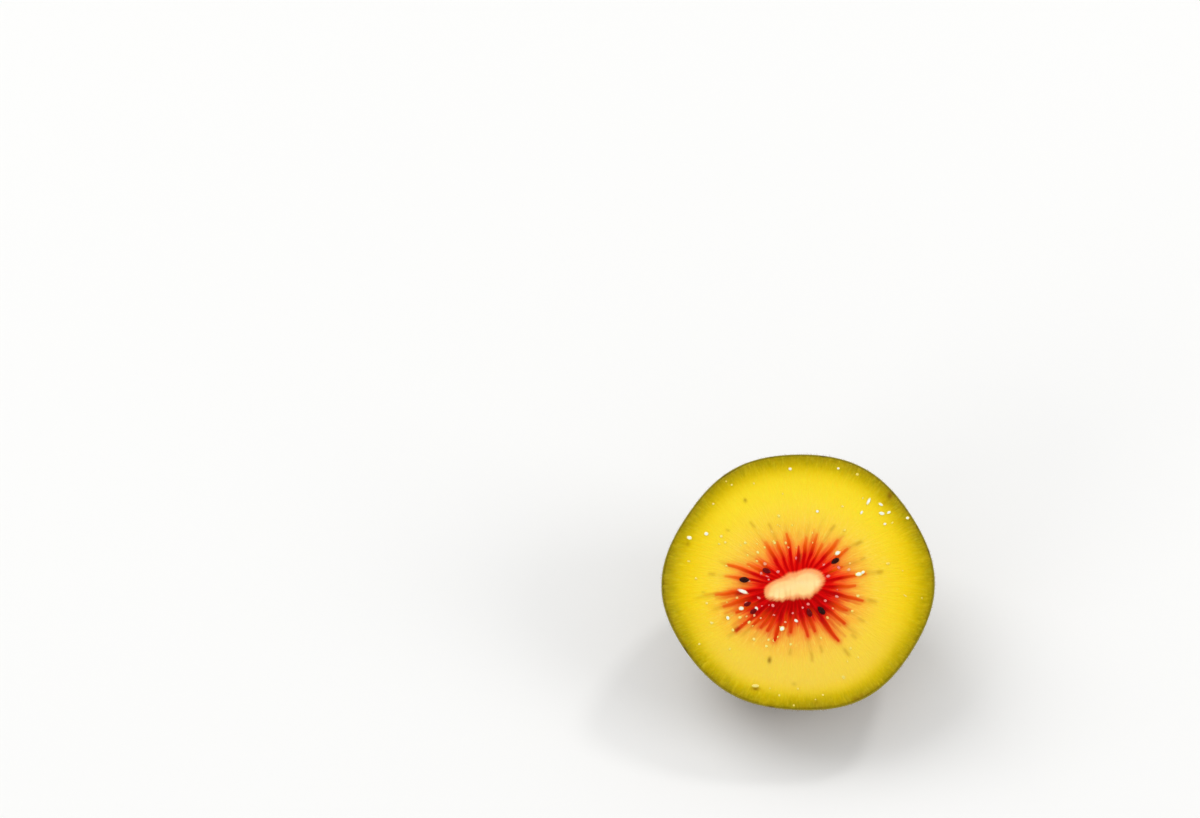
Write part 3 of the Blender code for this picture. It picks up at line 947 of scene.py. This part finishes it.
# The seeds.
# A few hard black seeds that lay in the plane of the cut, each a flat drop with its point towards the
# heart, half sunk in the flesh with a wet skin of juice. The paler ones still have flesh over them.
# Angle and distance of each, and how much of it shows
SEEDS = (
    (176.7, 10.6, 1.0), (311, 7.2, 1.0), (158.5, 6.6, 0.7), (30.4, 8.7, 0.75), (291.6, 6.3, 0.7),
    (212.8, 10.4, 0.5), (203, 10.8, 0.45),
)
BARE_SEED = 0.7
SEED_HALF_SIZE = (1.0, 0.58, 0.42)
SEED_SEGMENTS = 28
SEED_RINGS = 18
SEED_TAPER = 0.35
SEED_TAPER_BEND = 1.5
# Size of a seed that hardly shows, and how high the middle of each lies for what shows of it
COVERED_SEED_SIZE = 0.6
SEED_LIFT = 0.25
SEED_SINK = 0.1
SEED_BLACK = srgb(40, 4, 2)
SEED_RED = srgb(96, 0, 4)
SEED_LIGHTER = 1.6
PIT_BUMP = 0.02 * MM


def seed_mesh(index, showing):
    """A drop, blunt at its outer end and drawn to a point at its inner one."""
    mesh = bpy.data.meshes.new("seed_%d" % index)
    shape = bmesh.new()
    bmesh.ops.create_uvsphere(shape, u_segments=SEED_SEGMENTS, v_segments=SEED_RINGS, radius=1.0)
    size = COVERED_SEED_SIZE + (1 - COVERED_SEED_SIZE) * showing
    for vertex in shape.verts:
        along, aside, up = vertex.co
        thin = 1 - SEED_TAPER * max(0.0, -along) ** SEED_TAPER_BEND
        drop = Vector((along, aside * thin, up * thin))
        vertex.co = Vector(a * b for a, b in zip(drop, SEED_HALF_SIZE)) * size * MM
    shape.to_mesh(mesh)
    shape.free()
    mesh.shade_smooth()
    return mesh


def seed_finish(name, colour):
    finish, shader, place = new_finish(name, Coat_Weight=0.1, Coat_Roughness=0.05, Specular_IOR_Level=0.05)
    pits = place.noise(3000.0, 2.0)
    lighter = tuple(SEED_LIGHTER * part for part in colour)
    lay_on(shader, Base_Color=pits.tint(colour, lighter), Roughness=0.25 + pits * 0.2,
           Normal=(pits * PIT_BUMP).bump())
    return finish


black_seed = seed_finish("black_seed", SEED_BLACK)
red_seed = seed_finish("red_seed", SEED_RED)
for index, (degrees, distance, showing) in enumerate(SEEDS):
    x, y = polar_point(degrees, distance)
    middle = Vector((x, y, SEED_LIFT * showing - SEED_SINK)) * MM
    place = LYING @ Matrix.Translation(middle) @ Matrix.Rotation(math.radians(degrees), 4, "Z")
    finish = black_seed if showing > BARE_SEED else red_seed
    add_piece("seed_%d" % index, seed_mesh(index, showing), finish, place)

# The juice.
# Beads of juice that stand on the fresh cut, each a low wet dome with its foot in the flesh. Some have
# a painted highlight, white at the crown, and the crowns of the rest are painted a little paler than the
# flesh under them, as a painted sheen.

# Place, half length and half width of each bead, and how far it is turned from +x in degrees. The
# glinting ones get a white painted highlight at the crown, the hazy ones a faint one.
GLINTING_BEADS = (
    (-10.9, -1.7, 1.15, 0.40, -20), (12.2, 1.8, 0.72, 0.40, 10), (13.0, 2.15, 0.46, 0.30, 34),
    (8.0, 6.0, 0.60, 0.42, 30), (-11.2, -5.1, 0.54, 0.42, 0), (-8.2, -5.1, 0.44, 0.34, -60),
    (-3.1, -9.1, 0.52, 0.44, 40), (-13.9, -7.0, 0.44, 0.34, -70), (-0.3, -7.5, 0.44, 0.32, -40),
    (14.2, 16.3, 0.80, 0.32, 62), (16.6, 15.7, 0.52, 0.28, -30), (16.8, 13.9, 0.60, 0.36, -10),
    (18.2, 14.1, 0.44, 0.26, 30), (12.8, 14.1, 0.42, 0.24, 60), (17.4, 11.8, 0.30, 0.26, 0),
    (21.9, 13.0, 0.34, 0.30, 0), (-21.6, 9.0, 0.54, 0.38, -20), (-18.2, 9.8, 0.46, 0.40, 0),
    (-1.4, 22.8, 0.34, 0.30, 0), (4.0, 14.3, 0.34, 0.30, 0), (8.2, 22.9, 0.28, 0.24, 0),
)
HAZY_BEADS = (
    (-8.4, -20.45, 0.90, 0.42, 0),
    (-7.3, -7.0, 0.52, 0.36, 35), (-11.5, -6.9, 0.42, 0.36, 0), (-8.6, -6.5, 0.44, 0.36, 60),
    (-9.7, -7.8, 0.48, 0.36, 50), (-4.9, -4.5, 0.50, 0.42, -50), (-4.7, -6.4, 0.42, 0.34, 0),
    (-1.0, -6.0, 0.38, 0.32, 0), (-2.4, -7.8, 0.38, 0.30, 0), (-10.2, -3.9, 0.50, 0.32, 30),
    (-7.8, -2.9, 0.64, 0.36, -35), (-6.5, 3.8, 0.48, 0.40, -45), (-7.2, 2.0, 0.48, 0.36, 80),
    (-3.9, 2.2, 0.46, 0.38, 50), (-5.7, 0.7, 0.52, 0.38, 20), (-9.7, 0.4, 0.40, 0.32, 0),
    (6.1, 1.4, 0.52, 0.40, 15), (5.3, 3.6, 0.44, 0.34, 40), (8.2, 3.1, 0.48, 0.38, -50),
    (10.2, 2.7, 0.46, 0.40, 30), (5.4, -1.3, 0.42, 0.30, -40), (7.8, -2.6, 0.56, 0.40, -30),
    (5.5, -3.5, 0.46, 0.40, 0), (2.1, -4.2, 0.52, 0.44, 0), (1.0, -4.9, 0.42, 0.36, 0),
    (12.0, -2.5, 0.42, 0.36, 0), (-12.9, -9.4, 0.40, 0.32, -60), (-17.1, -8.0, 0.42, 0.34, 0),
    (9.0, 15.3, 0.30, 0.26, 0), (-15.2, 9.3, 0.40, 0.36, 0), (-14.4, 8.1, 0.34, 0.30, 0),
    (-16.8, 15.8, 0.30, 0.26, 0), (-13.1, 19.6, 0.28, 0.24, 0), (-10.4, 8.0, 0.40, 0.34, 0),
    (-7.9, 6.1, 0.42, 0.34, -60), (-4.5, 8.0, 0.36, 0.30, 60), (-8.7, -11.2, 0.42, 0.36, -60),
    (-6.2, -12.6, 0.40, 0.34, 0), (-1.4, -12.2, 0.38, 0.32, 60), (-5.8, -11.3, 0.36, 0.30, 60),
    (5.0, -22.2, 0.26, 0.24, 0), (-19.6, -12.2, 0.28, 0.26, 0), (-18.1, -4.1, 0.34, 0.30, 0),
)
# Fine beads: how many and how far out, near the heart and over all the rest
FINE_BEADS = ((44, 3.0, 12.5), (32, 12.5, 25.0))
FINE_BEAD_SIZE = (0.12, 0.28)
FINE_BEAD_LENGTH = (1.0, 1.6)
CLEAR_OF_HEART = 0.4
BEAD_DRAW = 23
GLINTING_BEAD_SIZE = 1.15
HAZY_BEAD_SIZE = 0.86
HAZY_BEAD_GLINT = 0.12
BEAD_LOWNESS = 0.32
BEAD_FOOT = 0.02
DOME_RINGS = 6
DOME_SIDES = 14
REDDENED = (3.0, 7.0)
PAINTED_GLINT_WHITE = srgb(255, 253, 236)
PAINTED_SHEEN_GOLDEN = srgb(255, 226, 96)
PAINTED_SHEEN_RED = srgb(246, 104, 100)
FOOT_GOLDEN = srgb(250, 206, 54)
FOOT_RED = srgb(224, 36, 20)


def dome(rings, sides):
    """Points and faces of a closed low dome, one high and one wide, for many copies of it."""
    points = [(math.cos(up) * math.cos(turn), math.cos(up) * math.sin(turn), math.sin(up))
              for up in np.linspace(0, math.pi / 2, rings + 1)[:-1]
              for turn in np.linspace(0, 2 * math.pi, sides, endpoint=False)]
    steps = [(side, (side + 1) % sides) for side in range(sides)]
    faces = [(low + here, low + there, low + sides + there, low + sides + here)
             for low in range(0, (rings - 1) * sides, sides) for here, there in steps]
    highest = (rings - 1) * sides
    faces += [(highest + here, highest + there, rings * sides) for here, there in steps]
    faces += [tuple(reversed(range(sides)))]
    return np.array([*points, (0, 0, 1)]), faces


def all_beads():
    """The placed beads and the fine ones, which are thrown at random, with how strongly each gets a painted
    white glint.
    """
    draw = random.Random(BEAD_DRAW)
    beads = [(x, y, size * length, size * width, degrees, glint)
             for placed, size, glint in ((GLINTING_BEADS, GLINTING_BEAD_SIZE, 1.0),
                                         (HAZY_BEADS, HAZY_BEAD_SIZE, HAZY_BEAD_GLINT))
             for x, y, length, width, degrees in placed]
    for count, near, far in FINE_BEADS:
        for _ in range(count):
            degrees = draw.uniform(0, 360)
            x, y = polar_point(degrees, math.sqrt(draw.uniform(near ** 2, far ** 2)))
            width = draw.uniform(*FINE_BEAD_SIZE)
            if core_gap(x, y) > CLEAR_OF_HEART:
                beads.append((x, y, width * draw.uniform(*FINE_BEAD_LENGTH), width, degrees, 0.0))
    return beads


def bead_mesh():
    """All the beads in one mesh: low domes with their feet in the flesh."""
    points, faces = dome(DOME_RINGS, DOME_SIDES)
    shapes, red, bright = [], [], []
    for x, y, length, width, degrees, glint in all_beads():
        turned = np.array(Matrix.Rotation(-math.radians(degrees), 3, "Z"))
        shapes.append((points * (length, width, width * BEAD_LOWNESS)) @ turned + (x, y, BEAD_FOOT))
        red.append(float(1 - smooth(*REDDENED, core_gap(x, y))))
        bright.append(glint)
    mesh = copies_mesh("juice", np.array(shapes), faces)
    mesh.shade_smooth()
    store(mesh, "red", np.repeat(red, len(points)))
    store(mesh, "bright", np.repeat(bright, len(points)))
    store(mesh, "crown", np.tile(points[:, 2], len(shapes)))
    return mesh


def juice_finish():
    finish, shader, place = new_finish("juice", Coat_Weight=1.0, Coat_Roughness=0.03, IOR=1.4,
                                       Subsurface_Weight=0.3, Subsurface_Radius=(1.0, 0.6, 0.3),
                                       Subsurface_Scale=0.0004)
    wet = place.noise(700.0, 1.0)
    red = place.stored("red")
    crown = place.stored("crown")
    foot = red.tint(FOOT_GOLDEN, FOOT_RED)
    # Painted sheen: each crown is painted paler than its foot, which has the flesh's colour.
    top = red.tint(PAINTED_SHEEN_GOLDEN, PAINTED_SHEEN_RED)
    colour = crown.step(0.15, 0.8).tint(foot, top)
    # Painted highlight: the crowns of the glinting beads are painted white.
    colour = (place.stored("bright") * crown.step(0.55, 0.92)).tint(colour, PAINTED_GLINT_WHITE)
    lay_on(shader, Base_Color=colour, Roughness=0.06 + wet * 0.06)
    return finish


add_piece("juice", bead_mesh(), juice_finish())
